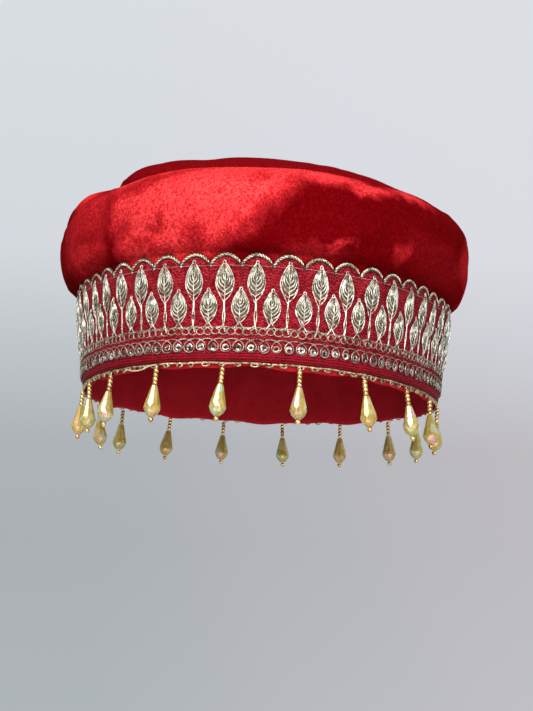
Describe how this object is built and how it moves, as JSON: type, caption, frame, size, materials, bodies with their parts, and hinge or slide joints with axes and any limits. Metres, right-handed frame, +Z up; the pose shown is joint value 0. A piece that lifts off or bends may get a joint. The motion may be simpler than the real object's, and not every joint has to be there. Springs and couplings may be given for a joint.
{
  "type": "velvet cap",
  "caption": "Soft round velvet cap with a puffed crown, a gold-embroidered border ribbon and a fringe of faceted teardrop bead drops.",
  "frame": {"origin": "middle of the head opening, level with the lower edge of the border ribbon", "axes": "+Z up through the crown, -Y towards the front of the cap, +X towards the wearer's left"},
  "size_m": [0.209, 0.2257, 0.1432],
  "materials": {
    "velvet_side": "matte",
    "velvet_tip": "matte",
    "band_cloth": "matte",
    "border_weave": "matte",
    "gilt_thread": "satin",
    "braid_thread": "satin",
    "seed_bead": "gloss",
    "drop_bead": "gloss"
  },
  "bodies": {
    "root": {"crown_side": "velvet_side", "crown_tip": "velvet_tip", "inner_band": "band_cloth", "border_ribbon": "border_weave", "scallop_cord": "gilt_thread", "drop_braid": "braid_thread", "bead_string_01": "seed_bead", "bead_string_02": "seed_bead", "bead_string_03": "seed_bead", "bead_string_04": "seed_bead", "bead_string_05": "seed_bead", "bead_string_06": "seed_bead", "bead_string_07": "seed_bead", "bead_string_08": "seed_bead", "bead_string_09": "seed_bead", "bead_string_10": "seed_bead", "bead_string_11": "seed_bead", "bead_string_12": "seed_bead", "bead_string_13": "seed_bead", "bead_string_14": "seed_bead", "bead_string_15": "seed_bead", "bead_string_16": "seed_bead", "bead_string_17": "seed_bead", "bead_string_18": "seed_bead", "drop_bead_01": "drop_bead", "drop_bead_02": "drop_bead", "drop_bead_03": "drop_bead", "drop_bead_04": "drop_bead", "drop_bead_05": "drop_bead", "drop_bead_06": "drop_bead", "drop_bead_07": "drop_bead", "drop_bead_08": "drop_bead", "drop_bead_09": "drop_bead", "drop_bead_10": "drop_bead", "drop_bead_11": "drop_bead", "drop_bead_12": "drop_bead", "drop_bead_13": "drop_bead", "drop_bead_14": "drop_bead", "drop_bead_15": "drop_bead", "drop_bead_16": "drop_bead", "drop_bead_17": "drop_bead", "drop_bead_18": "drop_bead"}
  },
  "joints": []
}
